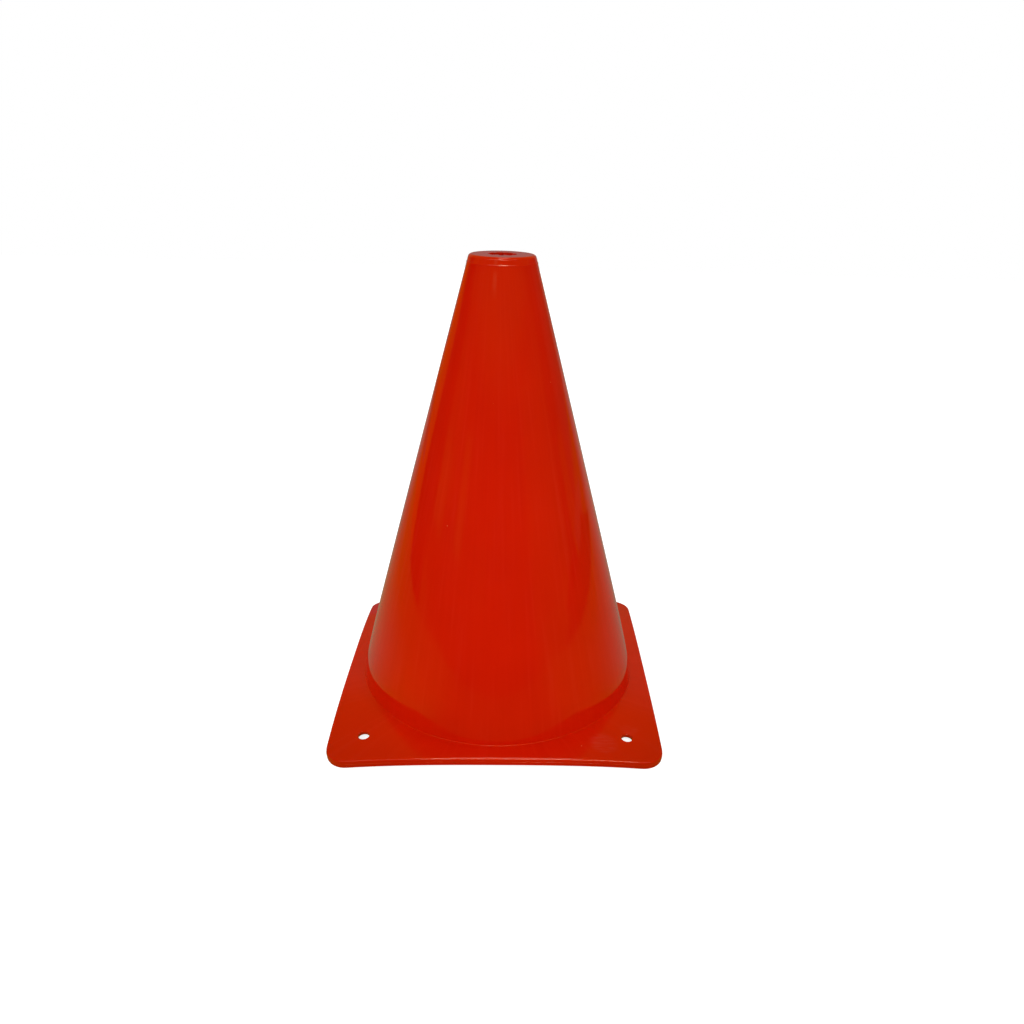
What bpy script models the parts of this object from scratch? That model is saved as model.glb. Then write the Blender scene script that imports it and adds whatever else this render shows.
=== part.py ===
"""Training cone for sports practice, in metres, with +Z up.

The real cone is one hollow plastic moulding, so the model is one closed solid. Its skin is a
loft through rings of points: they start in the hole at the top, run down the outside of the
cone, across the square flange, round its turned-down lip, and back up the inside to the hole.
The origin is the middle of the base, on the ground.
"""

import math

import bmesh
import bpy
from mathutils import Matrix, Vector

# Overall form
CONE_HEIGHT = 0.190
BASE_SIDE = 0.140
FOOT_MARGIN = 0.0064
TOP_DIAMETER = 0.0262

# Thickness of the plastic, and how far the lip hangs below the flange
CONE_WALL = 0.0014
TOP_THICKNESS = 0.0018
PLATE_THICKNESS = 0.0018
LIP_WALL = 0.0018
LIP_DROP = 0.0016

# Rounded edges
CORNER_RADIUS = 0.0075
RIM_ROUND = 0.0013
CORE_ROUND = 0.0006
FOOT_FILLET = 0.0012
EDGE_ROUND = 0.0006

# Holes for a pole at the top and for a peg at each corner
TOP_HOLE_DIAMETER = 0.011
CORNER_HOLE_DIAMETER = 0.0048
CORNER_HOLE_INSET = 0.0152
CUT_OVERRUN = 0.002

# Raised lines that the joints of the mould leave round the top and along the lip
COLLAR_DEPTH = 0.0030
COLLAR_LINE_WIDTH = 0.0008
COLLAR_LINE_HEIGHT = 0.0002
LIP_LINE_WIDTH = 0.0006
LIP_LINE_HEIGHT = 0.00015
LINE_SHARES = ((-0.5, 0.0), (-0.2, 1.0), (0.2, 1.0), (0.5, 0.0))

# The flange arches between its corners and stands on a flat pad at each of them
EDGE_ARCH = 0.0010
PAD_SHARE = 0.85

# Steps of the facets
SIDE_STEPS = 20
CORNER_STEPS = 4
ARC_STEPS = 4
WALL_STEPS = 4
PLATE_STEPS = 3
HOLE_STEPS = 24
SMOOTH_ANGLE = math.radians(35)

RED_POLYETHYLENE = (196, 28, 0)
MOULDED_ROUGHNESS = 0.22

HALF_SIDE = BASE_SIDE / 2
UNDERSIDE = LIP_DROP
PLATE_TOP = LIP_DROP + PLATE_THICKNESS
FOOT_RADIUS = HALF_SIDE - FOOT_MARGIN
TOP_RADIUS = TOP_DIAMETER / 2
LEAN = math.atan2(FOOT_RADIUS - TOP_RADIUS, CONE_HEIGHT - PLATE_TOP)


def clear_scene():
    """Remove every object that the file holds."""
    for thing in list(bpy.data.objects):
        bpy.data.objects.remove(thing, do_unlink=True)


def outer_radius(height):
    """Radius of the cone's outer face at a height."""
    return FOOT_RADIUS - (height - PLATE_TOP) * math.tan(LEAN)


def inner_radius(height):
    """Radius of the cone's inner face at a height."""
    return outer_radius(height) - CONE_WALL / math.cos(LEAN)


def arc(radius, height, bend, start, end):
    """Points of an arc of radius `bend`, centred on a radius and height, with both its ends."""
    points = []
    for step in range(ARC_STEPS + 1):
        angle = start + (end - start) * step / ARC_STEPS
        points.append((radius + bend * math.cos(angle), height + bend * math.sin(angle)))
    return points


def rim_profile():
    """Rounded edge from the top face down to the wall."""
    height = CONE_HEIGHT - RIM_ROUND
    radius = outer_radius(height) - RIM_ROUND / math.cos(LEAN)
    return arc(radius, height, RIM_ROUND, math.pi / 2, LEAN)


def collar_profile():
    """Raised line round the wall, a short way down from the top."""
    points = []
    for along, out in LINE_SHARES:
        slant = COLLAR_DEPTH + along * COLLAR_LINE_WIDTH
        rise = out * COLLAR_LINE_HEIGHT
        radius = TOP_RADIUS + slant * math.sin(LEAN) + rise * math.cos(LEAN)
        height = CONE_HEIGHT - slant * math.cos(LEAN) + rise * math.sin(LEAN)
        points.append((radius, height))
    return points


def foot_profile():
    """Fillet from the wall out to the top of the flange."""
    height = PLATE_TOP + FOOT_FILLET
    radius = outer_radius(height) + FOOT_FILLET / math.cos(LEAN)
    return arc(radius, height, FOOT_FILLET, math.pi + LEAN, 1.5 * math.pi)


def inner_foot_profile():
    """Rounded edge from the flange's underside up to the inner wall, one wall inside the fillet."""
    bend = FOOT_FILLET + CONE_WALL
    height = UNDERSIDE + bend
    radius = inner_radius(height) + bend / math.cos(LEAN)
    return arc(radius, height, bend, 1.5 * math.pi, math.pi + LEAN)


def core_profile():
    """Rounded corner inside, from the inner wall to the underside of the top face."""
    height = CONE_HEIGHT - TOP_THICKNESS - CORE_ROUND
    radius = inner_radius(height) - CORE_ROUND / math.cos(LEAN)
    return arc(radius, height, CORE_ROUND, LEAN, math.pi / 2)


def between(start, end, steps):
    """Points that divide the way from start to end into equal steps, without its ends."""
    return [start.lerp(end, step / steps) for step in range(1, steps)]


def wall_profile(start, end):
    """Points that divide a straight stretch of wall, without its ends."""
    return [tuple(point) for point in between(Vector(start), Vector(end), WALL_STEPS)]


def outline(inset):
    """Rounded square that lies `inset` inside the flange's edge, as points in order round it."""
    reach = HALF_SIDE - inset
    bend = CORNER_RADIUS - inset
    middle = HALF_SIDE - CORNER_RADIUS
    corner_angle = math.atan2(HALF_SIDE, middle)
    quarter = []
    for step in range(CORNER_STEPS + 1):
        angle = math.pi / 2 * step / CORNER_STEPS
        quarter.append(Vector((middle + bend * math.cos(angle), middle + bend * math.sin(angle))))
    for step in range(1, SIDE_STEPS):
        angle = corner_angle + (math.pi - 2 * corner_angle) * step / SIDE_STEPS
        quarter.append(Vector((HALF_SIDE / math.tan(angle), reach)))
    points = []
    for turn in range(4):
        spin = Matrix.Rotation(turn * math.pi / 2, 2)
        points.extend(spin @ point for point in quarter)
    return points


def square_ring(inset, height):
    """Ring of points on a rounded square at a height."""
    return [Vector((point.x, point.y, height)) for point in outline(inset)]


def round_ring(radius, height):
    """Ring of points on a circle at a height, in the directions of the square's points."""
    return [Vector((*(radius * point.normalized()), height)) for point in outline(0)]


def blended_rings(start, end):
    """Rings that lead across the flange from one ring to another, without those two."""
    rings = []
    for step in range(1, PLATE_STEPS):
        share = step / PLATE_STEPS
        rings.append([near.lerp(far, share) for near, far in zip(start, end)])
    return rings


def outside_rings():
    """Rings from the top hole down the outside to the fillet at the cone's foot."""
    rim = rim_profile()
    collar = collar_profile()
    foot = foot_profile()
    hole = TOP_HOLE_DIAMETER / 2
    profile = [(hole, CONE_HEIGHT - TOP_THICKNESS), (hole, CONE_HEIGHT)]
    profile += rim + collar + wall_profile(collar[-1], foot[0]) + foot
    return [round_ring(radius, height) for radius, height in profile]


def lip_rings():
    """Rings over the flange's edge, down the lip with its raised line, and up inside it."""
    rings = []
    for radius, height in arc(EDGE_ROUND, PLATE_TOP - EDGE_ROUND, EDGE_ROUND, math.pi / 2, 0):
        rings.append(square_ring(2 * EDGE_ROUND - radius, height))
    middle = (PLATE_TOP - EDGE_ROUND) / 2
    for along, out in LINE_SHARES:
        rings.append(square_ring(-out * LIP_LINE_HEIGHT, middle - along * LIP_LINE_WIDTH))
    rings.append(square_ring(0, 0))
    rings.append(square_ring(LIP_WALL, 0))
    rings.append(square_ring(LIP_WALL, UNDERSIDE))
    return rings


def inside_rings():
    """Rings from the flange's underside up the inner wall to the top face's underside."""
    foot = inner_foot_profile()
    core = core_profile()
    profile = foot + wall_profile(foot[-1], core[0]) + core
    return [round_ring(radius, height) for radius, height in profile]


def moulding_rings():
    """All rings of the moulding in order; the last is next to the first."""
    outside = outside_rings()
    lip = lip_rings()
    inside = inside_rings()
    return (outside + blended_rings(outside[-1], lip[0]) + lip
            + blended_rings(lip[-1], inside[0]) + inside)


def arch_lift(point):
    """How far the arch raises a point: nothing over the corner pads, and less up the cone."""
    share = abs(point.x * point.y) / (HALF_SIDE * HALF_SIDE * PAD_SHARE)
    return EDGE_ARCH * max(0, 1 - share * share) * (1 - point.z / CONE_HEIGHT)


def skin(shape, rings):
    """Fill the strip between each ring and the next, and between the last and the first."""
    loops = []
    for ring in rings:
        loops.append([shape.verts.new(point + Vector((0, 0, arch_lift(point)))) for point in ring])
    for index, loop in enumerate(loops):
        before = loops[index - 1]
        for place in range(len(loop)):
            corners = (before[place - 1], before[place], loop[place], loop[place - 1])
            shape.faces.new(corners)
    bmesh.ops.recalc_face_normals(shape, faces=shape.faces)


def new_object(name, shape):
    """Turn a shape into an object of the scene."""
    mesh = bpy.data.meshes.new(name)
    shape.to_mesh(mesh)
    shape.free()
    thing = bpy.data.objects.new(name, mesh)
    bpy.context.scene.collection.objects.link(thing)
    return thing


def corner_hole_cutter():
    """One cylinder through the flange at each corner."""
    shape = bmesh.new()
    reach = HALF_SIDE - CORNER_HOLE_INSET
    depth = PLATE_TOP + EDGE_ARCH + 2 * CUT_OVERRUN
    for turn in range(4):
        place = Matrix.Rotation(turn * math.pi / 2, 4, "Z")
        place = place @ Matrix.Translation((reach, reach, depth / 2 - CUT_OVERRUN))
        bmesh.ops.create_cone(
            shape, cap_ends=True, segments=HOLE_STEPS, depth=depth, matrix=place,
            radius1=CORNER_HOLE_DIAMETER / 2, radius2=CORNER_HOLE_DIAMETER / 2)
    cutter = new_object("corner_hole_cutter", shape)
    cutter.hide_render = True
    cutter.display_type = "WIRE"
    return cutter


def linear(channel):
    """Linear value of one sRGB channel from 0 to 255."""
    value = channel / 255
    return value / 12.92 if value <= 0.04045 else ((value + 0.055) / 1.055) ** 2.4


def moulded_plastic():
    """Glossy red polyethylene as it leaves a polished mould."""
    material = bpy.data.materials.new("red_polyethylene")
    material.use_nodes = True
    shader = material.node_tree.nodes["Principled BSDF"]
    shader.inputs["Base Color"].default_value = (*map(linear, RED_POLYETHYLENE), 1)
    shader.inputs["Roughness"].default_value = MOULDED_ROUGHNESS
    shader.inputs["Metallic"].default_value = 0
    return material


def cone_moulding():
    """The whole cone: wall, top face, flange and lip in one piece, with its corner holes cut."""
    shape = bmesh.new()
    skin(shape, moulding_rings())
    moulding = new_object("cone_moulding", shape)
    moulding.data.shade_smooth()
    moulding.data.set_sharp_from_angle(angle=SMOOTH_ANGLE)
    moulding.data.materials.append(moulded_plastic())
    holes = moulding.modifiers.new("corner_holes", "BOOLEAN")
    holes.operation = "DIFFERENCE"
    holes.solver = "EXACT"
    holes.object = corner_hole_cutter()
    return moulding


clear_scene()
cone_moulding()
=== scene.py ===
"""A glossy red training cone on a white ground, in a dim room that only its gloss mirrors."""

import logging
import math
from collections.abc import Callable, Sequence
from dataclasses import dataclass, field
from enum import Enum

import bmesh
import bpy
from mathutils import Matrix, Vector


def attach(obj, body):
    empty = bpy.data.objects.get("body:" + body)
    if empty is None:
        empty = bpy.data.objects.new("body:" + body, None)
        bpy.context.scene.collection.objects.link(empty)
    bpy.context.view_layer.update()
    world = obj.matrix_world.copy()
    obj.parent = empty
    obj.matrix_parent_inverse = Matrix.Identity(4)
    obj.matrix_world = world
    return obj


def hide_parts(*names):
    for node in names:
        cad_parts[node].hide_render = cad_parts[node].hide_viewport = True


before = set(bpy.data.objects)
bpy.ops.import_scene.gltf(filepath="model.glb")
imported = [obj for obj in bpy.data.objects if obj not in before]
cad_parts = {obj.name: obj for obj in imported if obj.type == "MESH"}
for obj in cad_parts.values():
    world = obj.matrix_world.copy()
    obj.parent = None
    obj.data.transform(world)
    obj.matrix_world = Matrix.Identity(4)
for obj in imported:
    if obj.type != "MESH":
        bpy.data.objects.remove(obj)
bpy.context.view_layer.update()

LOG = logging.getLogger("training_cone")
NODE = "cone_moulding"
BODY = "root"
MM = 0.001
WHITE = (1.0, 1.0, 1.0, 1.0)
Point = tuple[float, float, float]
Span = tuple[float, float]
Test = Callable[[Vector], bool]
Piece = bpy.types.Object
Material = bpy.types.Material
Socket = bpy.types.NodeSocket
Block = Material | bpy.types.World


class Kind(Enum):
    """What an edit-mode selection is made of."""

    VERTEX = "VERT"
    EDGE = "EDGE"
    FACE = "FACE"


# Small helpers


def linear(hex_colour: str) -> tuple[float, float, float, float]:
    """Turn an sRGB hex colour into linear values.

    Args:
        hex_colour: Six hex digits, such as "c41c00".

    Returns:
        Linear red, green and blue, and an alpha of 1.
    """
    channels = [int(hex_colour[place:place + 2], 16) / 255 for place in (0, 2, 4)]
    curve = [c / 12.92 if c <= 0.04045 else ((c + 0.055) / 1.055) ** 2.4 for c in channels]
    return (*curve, 1.0)


def azimuth(place: Vector) -> float:
    """Direction of a place, in degrees from the front and positive to the right."""
    return math.degrees(math.atan2(place.x, -place.y))


def deselect_all() -> None:
    """Leave no object selected."""
    bpy.ops.object.select_all(action="DESELECT")


def make_active(piece: Piece) -> None:
    """Select one object alone and make it the active one.

    Args:
        piece: The object.
    """
    deselect_all()
    piece.select_set(True)
    bpy.context.view_layer.objects.active = piece


def delete(piece: Piece) -> None:
    """Delete an object."""
    make_active(piece)
    bpy.ops.object.delete()


def edit(piece: Piece, kind: Kind) -> None:
    """Open a piece in edit mode with nothing selected.

    Args:
        piece: The piece.
        kind: What will be selected.
    """
    make_active(piece)
    bpy.ops.object.mode_set(mode="EDIT")
    bpy.ops.mesh.select_mode(type=kind.value)
    bpy.ops.mesh.select_all(action="DESELECT")


def leave_edit() -> None:
    """Go back to object mode."""
    bpy.ops.object.mode_set(mode="OBJECT")


def pick(piece: Piece, kind: Kind, test: Callable[[list[Vector]], bool]) -> int:
    """Select, in edit mode, the elements whose corners pass a test of their places.

    Args:
        piece: The piece in edit mode.
        kind: Whether vertices, edges or faces are picked.
        test: Says of the places of an element's corners whether the element belongs.

    Returns:
        How many elements were picked.
    """
    bpy.ops.mesh.select_mode(type=kind.value)
    bpy.ops.mesh.select_all(action="DESELECT")
    shape = bmesh.from_edit_mesh(piece.data)
    elements = {Kind.VERTEX: shape.verts, Kind.EDGE: shape.edges, Kind.FACE: shape.faces}[kind]
    chosen = []
    for element in elements:
        corners = [element] if kind is Kind.VERTEX else element.verts
        if test([corner.co.copy() for corner in corners]):
            chosen.append(element)
    for element in chosen:
        element.select_set(True)
    bmesh.update_edit_mesh(piece.data)
    return len(chosen)


def apply_modifier(piece: Piece, kind: str, **settings: object) -> None:
    """Add a modifier with its settings and apply it.

    Args:
        piece: The piece that gets it.
        kind: Blender's name for the modifier's kind.
        settings: The modifier's own settings.
    """
    make_active(piece)
    modifier = piece.modifiers.new(kind.lower(), kind)
    for name, value in settings.items():
        setattr(modifier, name, value)
    bpy.ops.object.modifier_apply(modifier=modifier.name)


def blank_tree(block: Block) -> Block:
    """Give a new material or world an empty node tree.

    Args:
        block: The material or world.

    Returns:
        The same material or world.
    """
    block.use_nodes = True
    block.node_tree.nodes.clear()
    return block


def add_node(block: Block, kind: str, links: dict[str | int, object] | None = None,
             **settings: object) -> Socket | None:
    """Add a shader node with its settings and what flows into it.

    Args:
        block: The material or world whose tree gets the node.
        kind: The node's type without the leading "ShaderNode".
        links: Input name or number to a value, or to the output socket that feeds it.
        settings: The node's own settings.

    Returns:
        The node's first output that is in use; others are reached through its node.
    """
    node = block.node_tree.nodes.new("ShaderNode" + kind)
    for name, value in settings.items():
        setattr(node, name, value)
    for name, value in (links or {}).items():
        if isinstance(value, Socket):
            block.node_tree.links.new(value, node.inputs[name])
        else:
            node.inputs[name].default_value = value
    return next((output for output in node.outputs if output.enabled), None)


def ends(side: str, span: Sequence[object]) -> dict[str, object]:
    """Name both ends of a range's side, which is From or To."""
    return {side + " Min": span[0], side + " Max": span[1]}


def seen_directly(block: Block) -> Socket:
    """Find out whether the camera, a gloss or a glass sees this, which lights nothing.

    Args:
        block: The material or world that asks.

    Returns:
        A socket that is 1 for such a ray and 0 for one that gathers light.
    """
    path = add_node(block, "LightPath").node.outputs
    seen = path["Is Camera Ray"]
    for ray in ("Is Glossy Ray", "Is Transmission Ray"):
        seen = add_node(block, "Math", {0: seen, 1: path[ray]}, operation="ADD", use_clamp=True)
    return seen


def finish_paint(material: Material, colour: object, strength: object) -> Material:
    """End a paint that the gloss mirrors and that lights nothing.

    Args:
        material: The paint so far.
        colour: Its colour, or the socket that gives it.
        strength: Its brightness, or the socket that gives it.

    Returns:
        The finished paint.
    """
    material.cycles.emission_sampling = "NONE"
    glow = add_node(material, "Emission", {"Color": colour, "Strength": strength})
    add_node(material, "OutputMaterial", {"Surface": glow})
    return material


# Finishes


@dataclass(frozen=True)
class Scuff:
    """A patch of fine scratches on the flange: its middle and its reach each way, in mm."""

    middle_mm: Span
    reach_mm: Span
    strength: float = 1.0


@dataclass(frozen=True)
class MouldedPolyethylene:
    """Low-density polyethylene, injection moulded in a polished tool.

    The eye gets an even, saturated red with a soft wet gloss: reflections are clear at a
    grazing angle and faint head on. Fine marks run from the gate down the wall, where it slid
    off the core, and a slow ripple left by the cooling plastic bends the reflections. Scratches
    and a few pale specks show that it was stacked and used. The drag marks and the scratches
    are drawn coarser than real ones, so that they show.
    """

    colour: str = "c91500"
    colour_flow: str = "c31300"
    # Painted shade: a darker red that the flange's corners turn to, standing in for the weaker
    # light there.
    colour_corner_shade: str = "b81300"
    colour_scratch: str = "f0e0d8"
    colour_speck: str = "e8a080"
    refractive_index: float = 1.51
    milkiness: float = 0.15
    milky_mm: float = 1.2
    milky_reach: Point = (1.0, 0.2, 0.1)
    roughness: Span = (0.055, 0.085)
    worn_span: Span = (0.4, 0.75)
    flow_mm: float = 30.0
    flow_span: Span = (0.35, 0.65)
    drag_in_flow: float = 0.35
    # Distances from the axis, in mm, over which the painted corner shade deepens.
    corner_shade_mm: Span = (68.0, 92.0)
    ripple_mm: float = 9.0
    ripple_height_mm: float = 0.02
    drag_mm: float = 1.3
    drag_detail: float = 3.0
    drag_stretch: float = 0.03
    drag_radius_mm: float = 40.0
    drag_height_mm: float = 0.0024
    drag_whitening: float = 0.003
    rubbed_span: Span = (0.56, 0.72)
    scratch_mm: float = 0.5
    scratch_detail: float = 4.0
    scratch_stretch: float = 0.05
    scratch_span: Span = (0.42, 0.62)
    scratch_least: float = 0.12
    scratch_whitening: float = 0.015
    scuff_fade: Span = (1.0, 0.5)
    speck_gap_mm: float = 11.0
    speck_mm: Span = (0.3, 0.18)
    speck_whitening: float = 0.28
    scuffs: tuple[Scuff, ...] = (
        Scuff((45.0, -59.5), (7.0, 7.5)), Scuff((57.0, -50.0), (5.0, 4.0), 0.7),
        Scuff((-52.0, 48.0), (9.0, 6.0), 0.8), Scuff((20.0, 64.0), (12.0, 3.0), 0.6),
    )

    def build(self) -> Material:
        """Build the material.

        Returns:
            The finished material.
        """
        material = blank_tree(bpy.data.materials.new("moulded_red_polyethylene"))
        place = add_node(material, "TexCoord").node.outputs["Object"]
        level_place = add_node(
            material, "VectorMath", {0: place, 1: (1, 1, 0)}, operation="MULTIPLY")
        drag = self.drag_marks(material, place, level_place)
        rubbed = add_node(material, "MapRange", {
            "Value": drag, "To Max": self.drag_whitening, **ends("From", self.rubbed_span)})
        colour = self.mix_colours(material, place, level_place, drag)
        for share, pale in ((self.scratches(material, place), self.colour_scratch),
                            (rubbed, self.colour_scratch),
                            (self.specks(material, place), self.colour_speck)):
            colour = add_node(
                material, "Mix", {0: share, 6: colour, 7: linear(pale)}, data_type="RGBA")
        gloss = add_node(material, "MapRange", {
            "Value": drag, **ends("From", self.worn_span), **ends("To", self.roughness)})
        shader = add_node(material, "BsdfPrincipled", {
            "Base Color": colour, "Roughness": gloss, "IOR": self.refractive_index,
            "Subsurface Weight": self.milkiness, "Subsurface Radius": self.milky_reach,
            "Subsurface Scale": self.milky_mm * MM,
            "Normal": self.relief(material, place, drag)})
        add_node(material, "OutputMaterial", {"Surface": shader})
        return material

    def drag_marks(self, material: Material, place: Socket, level_place: Socket) -> Socket:
        """Draw marks that run straight down the wall and outwards across the flange.

        Args:
            material: The material.
            place: The place on the piece.
            level_place: The same without its height.

        Returns:
            A value about 0.5 that rises along the marks.
        """
        direction = add_node(material, "VectorMath", {0: level_place}, operation="NORMALIZE")
        height = add_node(
            material, "VectorMath", {0: place, 1: (0, 0, self.drag_stretch)}, operation="MULTIPLY")
        reach = self.drag_radius_mm * MM
        along = add_node(
            material, "VectorMath", {0: direction, 1: (reach, reach, reach), 2: height},
            operation="MULTIPLY_ADD")
        return add_node(material, "TexNoise", {
            "Vector": along, "Detail": self.drag_detail, "Scale": 1 / (self.drag_mm * MM)})

    def mix_colours(self, material: Material, place: Socket, level_place: Socket,
                    drag: Socket) -> Socket:
        """Mix the plastic's colour with the clouds of its flow, and paint shade that darkens the
        flange towards its corners.

        Args:
            material: The material.
            place: The place on the piece.
            level_place: The same without its height.
            drag: The marks down the wall, which tint it faintly.

        Returns:
            The colour.
        """
        clouds = add_node(
            material, "TexNoise", {"Vector": place, "Scale": 1 / (self.flow_mm * MM)})
        share = add_node(material, "Mix", {0: self.drag_in_flow, 2: clouds, 3: drag})
        flow = add_node(material, "MapRange", {"Value": share, **ends("From", self.flow_span)})
        colour = add_node(
            material, "Mix", {0: flow, 6: linear(self.colour_flow), 7: linear(self.colour)},
            data_type="RGBA")
        reach = add_node(material, "VectorMath", {0: level_place}, operation="LENGTH")
        # Painted shade: the flange darkens towards its corners as if less light reached them.
        corner = add_node(material, "MapRange", {
            "Value": reach, **ends("From", [edge * MM for edge in self.corner_shade_mm])})
        return add_node(material, "Mix", {0: corner, 6: colour, 7: linear(self.colour_corner_shade)},
                        data_type="RGBA")

    def scratches(self, material: Material, place: Socket) -> Socket:
        """Draw the scuffs' fine level scratches.

        Args:
            material: The material.
            place: The place on the piece.

        Returns:
            How far the scratches whiten the plastic.
        """
        stretched = add_node(material, "VectorMath", {0: place, 1: (self.scratch_stretch, 1, 1)},
                             operation="MULTIPLY")
        lines = add_node(material, "TexNoise", {
            "Vector": stretched, "Detail": self.scratch_detail,
            "Scale": 1 / (self.scratch_mm * MM)})
        lines = add_node(material, "MapRange", {
            "Value": lines, "To Min": self.scratch_least, **ends("From", self.scratch_span)})
        total = 0.0
        for scuff in self.scuffs:
            away = add_node(material, "VectorMath",
                            {0: place, 1: (*(part * MM for part in scuff.middle_mm), 0)},
                            operation="SUBTRACT")
            shares = add_node(material, "VectorMath",
                              {0: away, 1: (*(1 / (part * MM) for part in scuff.reach_mm), 0)},
                              operation="MULTIPLY")
            length = add_node(material, "VectorMath", {0: shares}, operation="LENGTH")
            patch = add_node(material, "MapRange",
                             {"Value": length, **ends("From", self.scuff_fade),
                              "To Max": self.scratch_whitening * scuff.strength},
                             interpolation_type="SMOOTHSTEP")
            total = add_node(material, "Math", {0: total, 1: patch}, operation="MAXIMUM")
        return add_node(material, "Math", {0: total, 1: lines}, operation="MULTIPLY")

    def specks(self, material: Material, place: Socket) -> Socket:
        """Scatter a few pale specks of dust and chipped plastic.

        Args:
            material: The material.
            place: The place on the piece.

        Returns:
            How far the specks whiten the plastic.
        """
        gap = self.speck_gap_mm
        cells = add_node(material, "TexVoronoi", {"Vector": place, "Scale": 1 / (gap * MM)})
        return add_node(material, "MapRange", {
            "Value": cells, "To Max": self.speck_whitening,
            **ends("From", [edge / gap for edge in self.speck_mm])})

    def relief(self, material: Material, place: Socket, drag: Socket) -> Socket:
        """Bend the surface by the slow ripple and the fine marks.

        Args:
            material: The material.
            place: The place on the piece.
            drag: The marks down the wall.

        Returns:
            The bent normal.
        """
        ripple = add_node(
            material, "TexNoise", {"Vector": place, "Scale": 1 / (self.ripple_mm * MM)})
        slow = add_node(
            material, "Bump", {"Height": ripple, "Distance": self.ripple_height_mm * MM})
        return add_node(material, "Bump", {
            "Height": drag, "Normal": slow, "Distance": self.drag_height_mm * MM})


@dataclass(frozen=True)
class WhiteGround:
    """Matt white paper. It reads as a plain white ground that holds the cone's soft shadow."""

    colour: str = "c0c0c0"
    glow: float = 0.86

    def build(self) -> Material:
        """Build the material, which lets a camera under the ground look through it.

        Returns:
            The finished material.
        """
        material = blank_tree(bpy.data.materials.new("white_paper"))
        strength = add_node(
            material, "Math", {0: seen_directly(material), 1: self.glow}, operation="MULTIPLY")
        glow = add_node(material, "Emission", {"Color": WHITE, "Strength": strength})
        matt = add_node(material, "BsdfDiffuse", {"Color": linear(self.colour)})
        both = add_node(material, "AddShader", {0: glow, 1: matt})
        under = add_node(material, "NewGeometry").node.outputs["Backfacing"]
        clear = add_node(material, "BsdfTransparent")
        shader = add_node(material, "MixShader", {0: under, 1: both, 2: clear})
        add_node(material, "OutputMaterial", {"Surface": shader})
        return material


@dataclass(frozen=True)
class DimRoom:
    """Walls and ceiling of a dim room. The gloss mirrors it: dark in front, paler overhead.

    Heights are in metres above the studio's eye height, and places in metres behind the cone.
    """

    brightness: Span = (0.05, 0.19)
    ceiling_heights: Span = (0.67, 1.07)
    back: float = 0.24
    back_heights: Span = (1.6, 1.36)
    back_places: Span = (1.5, 2.1)
    tint: str = "ffee30"
    tint_back: str = "fff09c"

    def build(self) -> Material:
        """Build the material.

        Returns:
            The finished material.
        """
        material = blank_tree(bpy.data.materials.new("dim_room"))
        place = add_node(material, "TexCoord").node.outputs["Object"]
        spot = add_node(material, "SeparateXYZ", {0: place}).node.outputs
        level = add_node(material, "MapRange", {
            "Value": spot["Z"], **ends("From", self.ceiling_heights),
            **ends("To", self.brightness)}, interpolation_type="SMOOTHSTEP")
        low = add_node(
            material, "MapRange", {"Value": spot["Z"], **ends("From", self.back_heights)})
        behind = add_node(
            material, "MapRange", {"Value": spot["Y"], **ends("From", self.back_places)})
        share = add_node(material, "Math", {0: low, 1: behind}, operation="MULTIPLY")
        level = add_node(material, "Mix", {0: share, 2: level, 3: self.back})
        tint = add_node(
            material, "Mix", {0: share, 6: linear(self.tint), 7: linear(self.tint_back)},
            data_type="RGBA")
        return finish_paint(material, tint, level)


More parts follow.
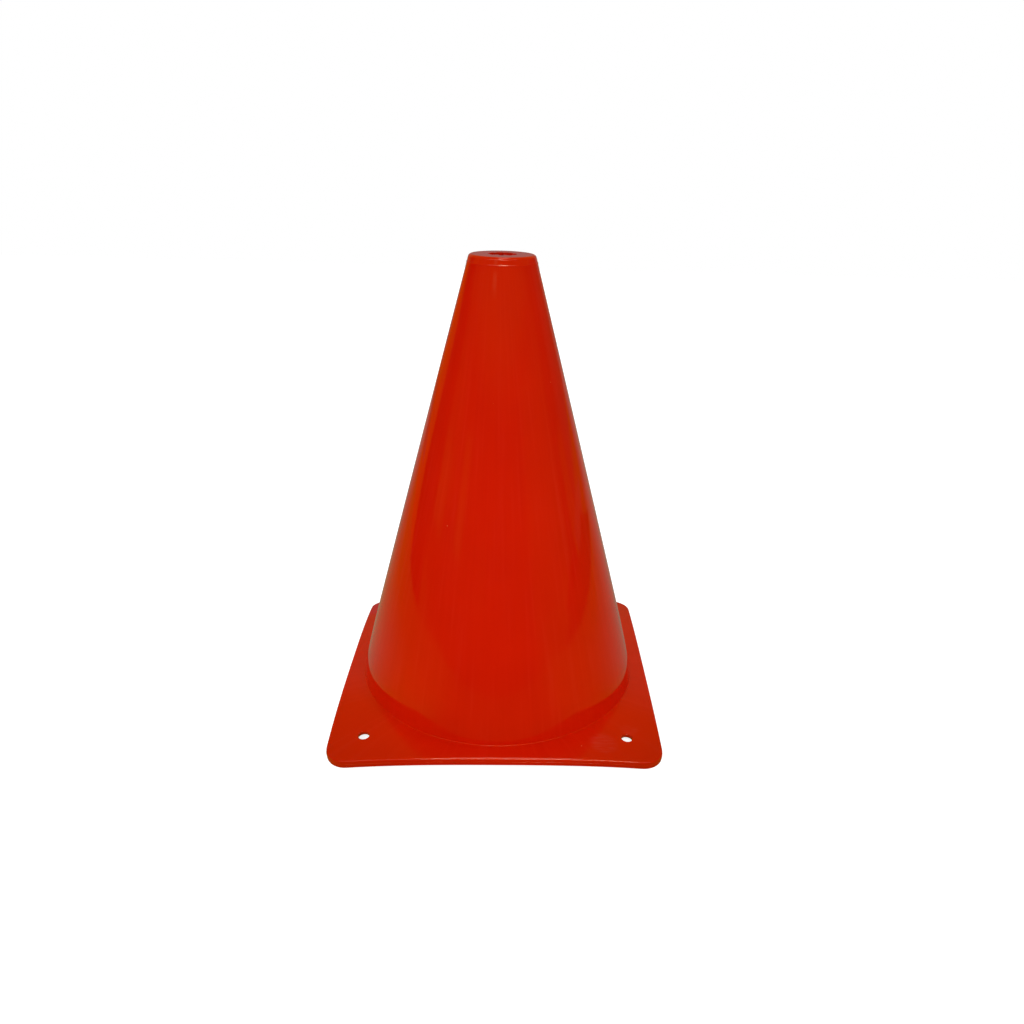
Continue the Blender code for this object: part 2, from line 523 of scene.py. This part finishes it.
@dataclass(frozen=True)
class GreySheet:
    """Grey table top or floor in the room. The gloss mirrors it dark in front of the cone.

    Places are in metres from the cone's axis. The parts of a direction run from -1 to 1.
    """

    name: str
    front: float
    left: float
    right: float
    front_tint: str = "ffee30"
    back_tint: str = "fffad8"
    behind_extra: float = 0.08
    near_extra: float = 0.1
    near_places: Span = (0.32, 0.04)
    side_parts: Span = (-0.5, 0.5)
    front_parts: Span = (-0.9, -0.68)
    pale_parts: Span = (-0.35, 0.15)
    behind_middle: float = 0.05
    behind_slope: float = -1.3
    pale_places: Span = (-0.3, 0.0)
    extra_places: Span = (-0.15, 0.15)

    def build(self) -> Material:
        """Build the material: brighter and whiter behind the cone and close to its foot.

        Returns:
            The finished material.
        """
        material = blank_tree(bpy.data.materials.new(self.name))
        place = add_node(material, "TexCoord").node.outputs["Object"]
        spot = add_node(material, "SeparateXYZ", {0: place}).node.outputs
        level_place = add_node(
            material, "VectorMath", {0: place, 1: (1, 1, 0)}, operation="MULTIPLY")
        direction = add_node(material, "VectorMath", {0: level_place}, operation="NORMALIZE")
        part = add_node(material, "SeparateXYZ", {0: direction}).node.outputs
        distance = add_node(material, "VectorMath", {0: level_place}, operation="LENGTH")
        near_foot = add_node(
            material, "MapRange", {"Value": distance, **ends("From", self.near_places)})
        left = add_node(material, "Math", {0: near_foot, 1: self.near_extra, 2: self.left},
                        operation="MULTIPLY_ADD")
        side = add_node(material, "MapRange", {
            "Value": part["X"], **ends("From", self.side_parts),
            **ends("To", (left, self.right))})
        lit = add_node(
            material, "MapRange", {"Value": part["Y"], **ends("From", self.front_parts)},
            interpolation_type="SMOOTHSTEP")
        level = add_node(material, "Mix", {0: lit, 2: self.front, 3: side})
        off_middle = add_node(
            material, "Math", {0: spot["X"], 1: self.behind_middle}, operation="SUBTRACT")
        aside = add_node(material, "Math", {0: off_middle}, operation="ABSOLUTE")
        behind = add_node(material, "Math", {0: aside, 1: self.behind_slope, 2: spot["Y"]},
                          operation="MULTIPLY_ADD")
        near_wall = add_node(
            material, "MapRange", {"Value": behind, **ends("From", self.pale_places)})
        off_front = add_node(
            material, "MapRange", {"Value": part["Y"], **ends("From", self.pale_parts)})
        pale = add_node(material, "Math", {0: near_wall, 1: near_foot}, operation="MAXIMUM")
        share = add_node(material, "Math", {0: pale, 1: off_front}, operation="MULTIPLY")
        tint = add_node(
            material, "Mix", {0: share, 6: linear(self.front_tint), 7: linear(self.back_tint)},
            data_type="RGBA")
        extra = add_node(material, "MapRange", {
            "Value": behind, "To Max": self.behind_extra, **ends("From", self.extra_places)})
        total = add_node(material, "Math", {0: level, 1: extra})
        return finish_paint(material, tint, total)


@dataclass(frozen=True)
class PaintedCard:
    """Evenly lit painted card. The gloss mirrors it as one flat patch."""

    name: str
    brightness: float
    tint: str

    def build(self) -> Material:
        """Build the material."""
        material = blank_tree(bpy.data.materials.new(self.name))
        return finish_paint(material, linear(self.tint), self.brightness)


# The cone


@dataclass(frozen=True)
class Edge:
    """An edge loop to round: where it lies, its rounding's radius, and the faces' angle there."""

    name: str
    test: Test
    radius: float
    opening: float = math.pi / 2
    steps: int = 4

    @property
    def offset(self) -> float:
        """Distance from the edge to where its rounding starts."""
        return self.radius / math.tan(self.opening / 2)


# How far the flange was pulled out of true as it cooled, in mm to the right, back and up. Its
# places run from -1, left or front, to 1, right or back. The pull fades out towards the top.
PULLS = {
    (-1, -1): (0.1, 0.1, -0.1), (0, -1): (0.1, 0.1, 2.3), (1, -1): (-0.1, 0.0, -0.4),
    (-1, 0): (0.0, 0.2, 4.0), (0, 0): (0.0, 0.0, 4.9), (1, 0): (0.0, 0.1, 2.05),
    (-1, 1): (0.2, -1.1, -0.4), (0, 1): (0.0, -0.2, 2.05), (1, 1): (-0.1, -0.2, 0.2),
}

# Tongues of flash round the top hole: where each starts and ends, in degrees from the front and
# positive to the right, and the share of the radius that it leaves. Where they overlap, the
# shares multiply.
FLASH = (
    (-42, -12, 0.86), (-36, -17, 0.84), (-30, -21, 0.9), (4, 26, 0.84), (8, 21, 0.8),
    (11, 17, 0.86), (-80, -58, 0.93), (-74, -64, 0.93), (44, 60, 0.94), (48, 56, 0.93),
    (116, 134, 0.94), (121, 129, 0.94), (-152, -137, 0.92), (-147, -142, 0.93),
    (166, 178, 0.95),
)


@dataclass
class ConeMoulding:
    """The one moulding: round wall, top ring, square flange and turned-down lip."""

    height: float = 190 * MM
    side: float = 140 * MM
    foot_radius: float = 63.75 * MM
    foot_tuck: float = 1.2 * MM
    tuck_height: float = 9.5 * MM
    top_radius: float = 12.75 * MM
    top_hole_radius: float = 5.5 * MM
    flange_top: float = 3.4 * MM
    wall: float = 1.4 * MM
    plate: float = 1.8 * MM
    corner_radius: float = 9.5 * MM
    rim_round: float = 1.3 * MM
    core_round: float = 0.6 * MM
    foot_fillet: float = 0.25 * MM
    tuck_round: float = 50 * MM
    edge_round: float = 0.8 * MM
    burr_round: float = 0.25 * MM
    flash_round: float = 0.06 * MM
    collar_depth: float = 3.0 * MM
    collar_width: float = 0.9 * MM
    collar_rise: float = 0.11 * MM
    lip_line_width: float = 0.36 * MM
    lip_line_rise: float = 0.12 * MM
    corner_hole_radius: float = 2.35 * MM
    corner_hole_inset: float = 14.6 * MM
    lean_right: float = 1.2 * MM
    slack: float = 0.02 * MM
    line_shares: tuple[float, ...] = (-0.5, -0.15, 0.15, 0.5)
    corner_steps: int = 12
    side_steps: int = 44
    wall_cuts: int = 24
    flange_cuts: int = 5
    hole_steps: int = 48
    smooth_angle: float = math.radians(32)
    normal_weight: int = 85
    piece: Piece = field(init=False, default=None)

    @property
    def half(self) -> float:
        """Half the flange's side."""
        return self.side / 2

    @property
    def lean(self) -> float:
        """Angle of the wall from upright."""
        return math.atan2(self.foot_radius - self.top_radius, self.height - self.flange_top)

    @property
    def foot_lean(self) -> float:
        """Angle from upright of the steeper foot of the wall."""
        return math.atan(math.tan(self.lean) - self.foot_tuck / self.tuck_height)

    def outer_radius(self, height: float) -> float:
        """Radius of the outer wall at a height, before any warp, if its foot were not tucked."""
        return self.foot_radius - (height - self.flange_top) * math.tan(self.lean)

    def level(self, place: Vector, height: float) -> bool:
        """Whether a place lies at a height."""
        return abs(place.z - height) < self.slack

    def on_circle(self, place: Vector, radius: float) -> bool:
        """Whether a place lies at a distance from the cone's axis."""
        return abs(place.xy.length - radius) < self.slack

    def on_square(self, place: Vector, inset: float = 0.0) -> bool:
        """Find out whether a place lies on the flange's outline, or on one that is set in.

        Args:
            place: The place.
            inset: How far the outline is set in.

        Returns:
            Whether it does.
        """
        inner = self.half - self.corner_radius
        corner = Vector((max(abs(place.x) - inner, 0), max(abs(place.y) - inner, 0)))
        return abs(corner.length - self.corner_radius + inset) < self.slack

    def on_wall(self, place: Vector) -> bool:
        """Whether a place lies on the outer face of the wall."""
        return self.on_circle(place, self.outer_radius(place.z))

    def build(self) -> None:
        """Model the moulding from a plane, each form after those that it depends on."""
        self.lay_outline()
        self.raise_skin()
        self.divide_skin()
        self.give_thickness()
        self.raise_mould_lines()
        self.bore_corner_holes()
        self.round_edges()
        self.warp()
        self.smooth()

    def lay_outline(self) -> None:
        """Turn a plane into the flange's outline, with round corners and divided sides."""
        deselect_all()
        bpy.ops.mesh.primitive_plane_add(size=self.side, location=(0, 0, self.flange_top))
        self.piece = bpy.context.active_object
        self.piece.name = "cone_shell"
        bpy.ops.object.transform_apply()
        edit(self.piece, Kind.VERTEX)
        bpy.ops.mesh.select_all(action="SELECT")
        bpy.ops.mesh.bevel(offset=self.corner_radius, segments=self.corner_steps,
                           affect="VERTICES")
        bpy.ops.mesh.select_all(action="SELECT")
        bpy.ops.mesh.delete(type="ONLY_FACE")
        straight = self.half - self.slack
        pick(self.piece, Kind.EDGE, lambda ends: all(abs(end.x) > straight for end in ends)
             or all(abs(end.y) > straight for end in ends))
        bpy.ops.mesh.subdivide(number_cuts=self.side_steps - 1)
        leave_edit()

    def raise_skin(self) -> None:
        """Pull the outer skin out of the outline, edge loop by edge loop."""
        edit(self.piece, Kind.EDGE)
        bpy.ops.mesh.select_all(action="SELECT")
        bpy.ops.mesh.extrude_edges_move()
        bpy.ops.transform.tosphere(value=1)
        self.resize_ring(self.foot_radius - self.foot_tuck)
        bpy.ops.mesh.extrude_edges_move()
        bpy.ops.transform.translate(value=(0, 0, self.tuck_height))
        self.resize_ring(self.outer_radius(self.flange_top + self.tuck_height))
        bpy.ops.mesh.extrude_edges_move()
        bpy.ops.transform.translate(
            value=(0, 0, self.height - self.flange_top - self.tuck_height))
        self.resize_ring(self.top_radius)
        bpy.ops.mesh.extrude_edges_move()
        self.resize_ring(self.top_hole_radius)
        self.leave_flash()
        pick(self.piece, Kind.EDGE, lambda ends: all(map(self.on_square, ends)))
        bpy.ops.mesh.extrude_edges_move()
        bpy.ops.transform.translate(value=(0, 0, -self.flange_top))
        leave_edit()

    def leave_flash(self) -> None:
        """Leave tongues of flash round the top hole, where the gate was broken off."""
        for first, last, reach in FLASH:
            def in_tongue(places: list[Vector]) -> bool:
                """Whether a vertex lies on the hole's rim within the tongue."""
                return (self.level(places[0], self.height)
                        and places[0].xy.length < self.top_hole_radius + self.slack
                        and first < azimuth(places[0]) < last)

            pick(self.piece, Kind.VERTEX, in_tongue)
            bpy.ops.transform.resize(value=(reach, reach, 1), center_override=(0, 0, 0))

    def resize_ring(self, radius: float) -> None:
        """Scale the selected ring about the cone's axis.

        Args:
            radius: The radius that it gets.
        """
        shape = bmesh.from_edit_mesh(self.piece.data)
        reach = max(corner.co.xy.length for corner in shape.verts if corner.select)
        bpy.ops.transform.resize(value=(radius / reach, radius / reach, 1),
                                 center_override=(0, 0, 0))

    def divide_skin(self) -> None:
        """Round the foot of the wall, then divide the wall and the flange into short strips."""
        edit(self.piece, Kind.EDGE)
        crease = self.foot_radius - self.foot_tuck
        self.round_edge(Edge("foot", lambda place: self.level(place, self.flange_top)
                             and self.on_circle(place, crease), self.foot_fillet,
                             math.pi / 2 + self.foot_lean, 6))
        tuck = self.flange_top + self.tuck_height
        self.round_edge(Edge("tuck", lambda place: self.level(place, tuck), self.tuck_round,
                             math.pi - self.lean + self.foot_lean, 6))
        pick(self.piece, Kind.EDGE,
             lambda ends: abs(ends[0].z - ends[1].z) > self.height / 2)
        bpy.ops.mesh.subdivide(number_cuts=self.wall_cuts)
        pick(self.piece, Kind.EDGE,
             lambda ends: all(self.level(end, self.flange_top) for end in ends)
             and self.on_square(ends[0]) != self.on_square(ends[1]))
        bpy.ops.mesh.subdivide(number_cuts=self.flange_cuts)
        bpy.ops.mesh.select_all(action="SELECT")
        bpy.ops.mesh.normals_make_consistent(inside=False)
        leave_edit()

    def give_thickness(self) -> None:
        """Thicken the skin inwards, the wall less than the flange, the lip and the top."""
        thin = self.piece.vertex_groups.new(name="thickness")
        for corner in self.piece.data.vertices:
            on_wall = self.flange_top + self.foot_fillet < corner.co.z < self.height - self.slack
            thin.add([corner.index], self.wall / self.plate if on_wall else 1.0, "REPLACE")
        apply_modifier(self.piece, "SOLIDIFY", thickness=self.plate, offset=-1,
                       use_even_offset=True, vertex_group=thin.name)
        self.piece.vertex_groups.clear()

    def raise_mould_lines(self) -> None:
        """Raise the fine lines that the joints of the mould leave."""
        edit(self.piece, Kind.FACE)
        collar = self.height - self.collar_depth * math.cos(self.lean)
        self.raise_line(collar, self.collar_width, self.collar_rise, self.on_wall)
        self.raise_line(self.flange_top / 2, self.lip_line_width, self.lip_line_rise,
                        self.on_square)
        leave_edit()

    def raise_line(self, height: float, width: float, rise: float, belongs: Test) -> None:
        """Raise a level line on an upright face.

        Args:
            height: Height of the middle of the line.
            width: Width of the line.
            rise: How far it stands out.
            belongs: Whether a place lies on the face that carries the line.
        """
        levels = [height + width * share for share in self.line_shares]
        for cut in levels:
            pick(self.piece, Kind.FACE, lambda corners: all(map(belongs, corners))
                 and min(corner.z for corner in corners) < cut
                 and max(corner.z for corner in corners) > cut)
            bpy.ops.mesh.bisect(plane_co=(0, 0, cut), plane_no=(0, 0, 1))
        pick(self.piece, Kind.VERTEX, lambda places: belongs(places[0])
             and abs(places[0].z - height) < width / 5)
        bpy.ops.transform.shrink_fatten(value=rise)

    def bore_corner_holes(self) -> None:
        """Bore a peg hole through the flange at each corner."""
        deselect_all()
        reach = self.half - self.corner_hole_inset
        cutters = []
        for x in (-reach, reach):
            for y in (-reach, reach):
                bpy.ops.mesh.primitive_cylinder_add(
                    vertices=self.hole_steps, radius=self.corner_hole_radius,
                    depth=4 * self.flange_top, location=(x, y, self.flange_top))
                cutters.append(bpy.context.active_object)
        for cutter in cutters:
            cutter.select_set(True)
        bpy.ops.object.join()
        drill = bpy.context.active_object
        apply_modifier(self.piece, "BOOLEAN", object=drill, operation="DIFFERENCE",
                       solver="EXACT")
        delete(drill)

    def round_edges(self) -> None:
        """Round each edge loop of the moulding with its own radius."""
        obtuse = math.pi / 2 + self.lean
        under = self.height - self.plate
        inside = self.top_hole_radius + self.plate
        reach = self.half - self.corner_hole_inset

        def in_corner_hole(place: Vector) -> bool:
            """Whether a place lies on the edge of a corner hole."""
            middle = Vector((math.copysign(reach, place.x), math.copysign(reach, place.y)))
            return abs((place.xy - middle).length - self.corner_hole_radius) < self.slack

        edges = (
            Edge("rim", lambda place: self.level(place, self.height)
                 and self.on_circle(place, self.top_radius), self.rim_round, obtuse, 6),
            Edge("core", lambda place: self.level(place, under)
                 and place.xy.length > inside, self.core_round, obtuse),
            Edge("top hole", lambda place: place.xy.length < self.top_hole_radius + self.slack,
                 self.flash_round, steps=2),
            Edge("lip top", lambda place: self.level(place, self.flange_top)
                 and self.on_square(place), self.edge_round, steps=5),
            Edge("lip foot", lambda place: self.level(place, 0) and self.on_square(place),
                 self.burr_round, steps=3),
            Edge("lip foot inside", lambda place: self.level(place, 0)
                 and self.on_square(place, self.plate), self.burr_round, steps=3),
            Edge("corner holes", in_corner_hole, self.burr_round, steps=3),
        )
        edit(self.piece, Kind.EDGE)
        for edge in edges:
            self.round_edge(edge)
        leave_edit()

    def round_edge(self, edge: Edge) -> None:
        """Round one edge loop, in edit mode.

        Args:
            edge: The edge loop.
        """
        count = pick(self.piece, Kind.EDGE, lambda ends: all(map(edge.test, ends))
                     and self.level(ends[0], ends[1].z))
        LOG.info("%s: %d edges rounded", edge.name, count)
        bpy.ops.mesh.bevel(offset=edge.offset, segments=edge.steps, affect="EDGES")

    def warp(self) -> None:
        """Pull the moulding out of true with a lattice, as it cooled, and stand it on the ground.

        The cage is twice as wide as the flange, so that its middle three points each way lie
        over the flange's corners, sides and middle, and the outer ones carry the curve on.
        """
        deselect_all()
        bpy.ops.object.add(type="LATTICE", location=(0, 0, self.height / 2))
        cage = bpy.context.active_object
        width = 2 * self.side
        cage.scale = (width, width, self.height)
        grid = cage.data
        grid.points_u = grid.points_v = 5
        grid.points_w = 2
        grid.interpolation_type_u = grid.interpolation_type_v = "KEY_CARDINAL"
        grid.interpolation_type_w = "KEY_LINEAR"
        for point in grid.points:
            if point.co.z < 0:
                pull = self.pull_at(*(point.co.xy * width / self.half))
            else:
                pull = Vector((self.lean_right, 0, 0))
            point.co_deform += Vector(part / size for part, size in zip(pull, cage.scale))
        apply_modifier(self.piece, "LATTICE", object=cage)
        delete(cage)
        lowest = min(corner.co.z for corner in self.piece.data.vertices)
        edit(self.piece, Kind.VERTEX)
        bpy.ops.mesh.select_all(action="SELECT")
        bpy.ops.transform.translate(value=(0, 0, -lowest))
        leave_edit()

    @staticmethod
    def pull_at(across: float, back: float) -> Vector:
        """Find how far the flange was pulled at a place, on a smooth surface through PULLS.

        Args:
            across: The place from side to side, in half sides.
            back: The place from front to back, in half sides.

        Returns:
            The pull in metres.
        """
        def weights(place: float) -> tuple[float, float, float]:
            """Shares of the values at -1, 0 and 1 in the value at a place."""
            return place * (place - 1) / 2, 1 - place * place, place * (place + 1) / 2

        total = Vector()
        for (column, row), pull in PULLS.items():
            share = weights(across)[column + 1] * weights(back)[row + 1]
            total += share * MM * Vector(pull)
        return total

    def smooth(self) -> None:
        """Shade the piece smooth with its creases kept."""
        make_active(self.piece)
        bpy.ops.object.shade_smooth_by_angle(angle=self.smooth_angle)
        apply_modifier(self.piece, "WEIGHTED_NORMAL", keep_sharp=True,
                       weight=self.normal_weight)

    def dress(self, finish: MouldedPolyethylene) -> None:
        """Put the finish on the piece and let the piece stand for the CAD node.

        Args:
            finish: The plastic.
        """
        self.piece.data.materials.append(finish.build())
        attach(self.piece, BODY)
        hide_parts(NODE)


# The studio


@dataclass
class PhotoCamera:
    """The camera that took the photograph, found from the outline of the cone."""

    place: Point = (0.00665, -0.33977, 0.22385)
    yaw: float = 0.0456
    pitch: float = 0.4816
    roll: float = 0.0314
    focal_px: float = 836.5
    centre_px: Span = (547.2, 591.1)
    image_px: float = 1024.0
    sensor_mm: float = 36.0
    clip_start: float = 10 * MM

    def build(self) -> Piece:
        """Set up the camera.

        Returns:
            The scene's camera.
        """
        deselect_all()
        bpy.ops.object.camera_add(location=self.place)
        camera = bpy.context.active_object
        turn = (Matrix.Rotation(-self.yaw, 4, "Z")
                @ Matrix.Rotation(math.pi / 2 - self.pitch, 4, "X")
                @ Matrix.Rotation(self.roll, 4, "Z"))
        camera.rotation_euler = turn.to_euler()
        camera.data.sensor_width = self.sensor_mm
        camera.data.lens = self.sensor_mm * self.focal_px / self.image_px
        camera.data.shift_x = (self.image_px / 2 - self.centre_px[0]) / self.image_px
        camera.data.shift_y = (self.centre_px[1] - self.image_px / 2) / self.image_px
        camera.data.clip_start = self.clip_start
        bpy.context.scene.camera = camera
        return camera


@dataclass(frozen=True)
class Card:
    """A bright or dark patch of the room, by its direction from the cone.

    Azimuths are in degrees from the front, positive to the right, and elevations in degrees
    above the studio's eye height.
    """

    name: str
    azimuths: Span
    elevations: Span
    brightness: float
    tint: str = "ffee30"
    distance: float = 2.4


CARDS = (
    Card("wall_behind", (142, 218), (-40, 16), 0.19, "fffac8", 2.5),
    Card("bright_wall_behind", (160, 200), (-40, 4), 0.44, "ffe8b8", 2.45),
    Card("high_wall_behind", (142, 218), (4, 15), 0.22, "fff0e4", 2.48),
    Card("wall_right", (33, 82), (-12, 17), 0.12),
    Card("wall_far_right", (104, 142), (-30, 25), 0.09, "ffee90"),
    Card("wall_left", (-92, -22), (-12, 16), 0.055, distance=2.55),
    Card("cupboard_left", (-90, -58), (5, 18), 0.1, distance=2.5),
    Card("dark_doorway", (-118, -86), (-25, 16), 0.012),
    Card("bright_shelf", (-84, -69), (1, 8), 0.18),
    Card("window_left", (-51, -42), (3, 12.5), 0.21),
    Card("lamp_pole", (-18.5, -16), (1, 7), 0.12),
    Card("orange_board", (-150, -118), (-30, 8), 0.5, "ff8c00"),
    Card("window_right", (91, 103), (-3.5, 4), 0.14),
    Card("ledge_right", (68, 116), (-5.5, -3.5), 0.04, distance=2.3),
    Card("ceiling_lamp", (-28, -15), (25.5, 38), 0.55, "ffe880", 1.7),
    Card("high_window", (-12, 23), (41, 50.5), 13.0, "fff6d4", 1.4),
    Card("high_pale_wall", (-60, 60), (40.5, 50.5), 2.0, "fff2c8", 1.42),
)


@dataclass(frozen=True)
class Sheet:
    """A bright or dark patch of floor or ceiling, as a rectangle turned about its middle."""

    name: str
    middle: Span
    size: Span
    brightness: float
    tint: str = "ffee30"
    turn: float = 0.0
    height: float = 0.0


SHEETS = (
    Sheet("skylight", (0.05, 0.6), (0.5, 1.6), 2.0, "fff6d4", height=2.2),
    Sheet("floor_far_right", (1.15, 0.3), (0.8, 0.44), 0.16, "ffee90"),
    Sheet("floor_dark_far_right", (1.15, -0.16), (0.8, 0.38), 0.02),
    Sheet("floor_strip_right", (0.79, -0.62), (1.5, 0.26), 0.155, turn=-38),
    Sheet("floor_dark_right", (0.645, 0.03), (0.45, 0.57), 0.06),
    Sheet("floor_dark_left", (-1.07, 0.44), (1.06, 1.12), 0.012),
    Sheet("floor_orange", (-0.85, 0.88), (1.5, 0.9), 0.5, "ff8c00", -34),
    Sheet("floor_pale_back_left", (-0.7, 0.95), (0.5, 0.66), 0.13, "ffee90"),
    Sheet("floor_strip_left", (-1.05, -0.2), (1.1, 0.14), 0.13),
    Sheet("floor_dim_strip_left", (-1.05, -0.32), (1.1, 0.1), 0.085),
)


@dataclass
class Studio:
    """White ground under soft light, in a dim room that only the gloss mirrors."""

    ground_half: float = 1.6
    table_middle: Span = (-0.065, 0.18)
    table_size: Span = (0.97, 1.2)
    sheet_gap: float = 0.01 * MM
    table_height: float = 0.3 * MM
    floor_height: float = 0.15 * MM
    room_radius: float = 2.7
    card_steps: int = 720
    eye_height: float = 80 * MM
    horizon: float = 1.1
    zenith: float = 0.75
    key_place: Point = (-0.15, -1.1, 1.1)
    key_size: float = 0.12
    key_power: float = 39.5
    key_aim: float = 38 * MM
    key_spread: float = math.radians(12)

    def build(self) -> None:
        """Build the ground, the room, the world and the lamp."""
        self.lay_ground()
        half = self.ground_half
        self.lay_mirrored(GreySheet("grey_floor", 0.05, 0.06, 0.17),
                          (0, 0), (2 * half, 2 * half), 0, self.floor_height)
        for place, sheet in enumerate(SHEETS, 1):
            self.lay_mirrored(PaintedCard(sheet.name, sheet.brightness, sheet.tint),
                              sheet.middle, sheet.size, sheet.turn,
                              sheet.height + self.floor_height + place * self.sheet_gap)
        self.lay_mirrored(GreySheet("grey_table", 0.11, 0.2, 0.22), self.table_middle,
                          self.table_size, 0, self.table_height)
        self.raise_room()
        for card in CARDS:
            self.raise_card(card)
        self.set_world()
        self.hang_lamp()

    def only_mirrored(self, thing: Piece) -> None:
        """Let nothing but the gloss see a stage object.

        Args:
            thing: The object.
        """
        for ray in ("camera", "diffuse", "transmission", "volume_scatter", "shadow"):
            setattr(thing, "visible_" + ray, False)

    def lay_ground(self) -> None:
        """Lay the white ground."""
        deselect_all()
        bpy.ops.mesh.primitive_plane_add(size=2 * self.ground_half)
        ground = bpy.context.active_object
        ground.name = "white_ground"
        ground.data.materials.append(WhiteGround().build())

    def lay_mirrored(self, paint: GreySheet | PaintedCard, middle: Span, size: Span,
                     turn: float, height: float) -> None:
        """Lay a level sheet that the gloss mirrors in place of the white ground.

        Args:
            paint: Its paint, which also names it.
            middle: Where its middle lies.
            size: Its width and depth.
            turn: How far it is turned about its middle, in degrees.
            height: How high it lies.
        """
        deselect_all()
        bpy.ops.mesh.primitive_plane_add(size=1)
        sheet = bpy.context.active_object
        sheet.name = paint.name
        sheet.scale = (*size, 1)
        sheet.rotation_euler = (0, 0, math.radians(turn))
        sheet.location = (*middle, height)
        bpy.ops.object.transform_apply()
        sheet.data.materials.append(paint.build())
        self.only_mirrored(sheet)

    def raise_room(self) -> None:
        """Raise the room round the cone."""
        deselect_all()
        bpy.ops.mesh.primitive_uv_sphere_add(radius=self.room_radius,
                                             location=(0, 0, self.eye_height))
        room = bpy.context.active_object
        room.name = "dim_room"
        room.data.materials.append(DimRoom().build())
        self.only_mirrored(room)

    def raise_card(self, card: Card) -> None:
        """Raise one card as a piece of a cylinder round the cone.

        Args:
            card: The card.
        """
        deselect_all()
        low, high = (card.distance * math.tan(math.radians(angle)) for angle in card.elevations)
        bpy.ops.mesh.primitive_cylinder_add(
            vertices=self.card_steps, radius=card.distance, depth=high - low,
            end_fill_type="NOTHING", location=(0, 0, self.eye_height + (low + high) / 2))
        thing = bpy.context.active_object
        thing.name = card.name
        first, last = card.azimuths

        def outside(corners: list[Vector]) -> bool:
            """Whether a face lies outside the card's azimuths."""
            middle = azimuth(sum(corners, Vector()) / len(corners))
            return not any(first < middle + turn < last for turn in (0, 360))

        edit(thing, Kind.FACE)
        pick(thing, Kind.FACE, outside)
        bpy.ops.mesh.delete(type="FACE")
        leave_edit()
        thing.data.materials.append(PaintedCard(card.name, card.brightness, card.tint).build())
        self.only_mirrored(thing)

    def set_world(self) -> None:
        """Set a white world that lights the cone more from its horizon than from its zenith."""
        world = blank_tree(bpy.data.worlds.new("studio_air"))
        bpy.context.scene.world = world
        world.cycles.sampling_method = "NONE"
        place = add_node(world, "TexCoord").node.outputs["Generated"]
        height = add_node(world, "SeparateXYZ", {0: place}).node.outputs["Z"]
        lit = add_node(
            world, "MapRange", {"Value": height, **ends("To", (self.horizon, self.zenith))})
        strength = add_node(world, "Mix", {0: seen_directly(world), 2: lit, 3: 1.0})
        light = add_node(world, "Background", {"Color": WHITE, "Strength": strength})
        add_node(world, "OutputWorld", {"Surface": light})

    def hang_lamp(self) -> None:
        """Hang a soft round lamp up in front; the gloss mirrors a card in its place."""
        deselect_all()
        bpy.ops.object.light_add(type="SPOT", location=self.key_place)
        lamp = bpy.context.active_object
        lamp.name = "key_lamp"
        lamp.data.shadow_soft_size = self.key_size
        lamp.data.spot_size = self.key_spread
        lamp.data.spot_blend = 1.0
        lamp.data.energy = self.key_power
        lamp.visible_glossy = False
        aim = Vector((0, 0, self.key_aim)) - lamp.location
        lamp.rotation_euler = aim.to_track_quat("-Z", "Y").to_euler()


def main() -> None:
    """Build the camera, the studio and the cone, and report the camera and the cone."""
    logging.basicConfig(level=logging.INFO, format="%(name)s: %(message)s")
    bpy.context.scene.view_settings.view_transform = "Standard"
    camera = PhotoCamera().build()
    LOG.info("camera at %s", tuple(round(value, 3) for value in camera.location))
    Studio().build()
    cone = ConeMoulding()
    cone.build()
    cone.dress(MouldedPolyethylene())
    LOG.info("%s: %d faces", cone.piece.name, len(cone.piece.data.polygons))


if __name__ == "__main__":
    main()
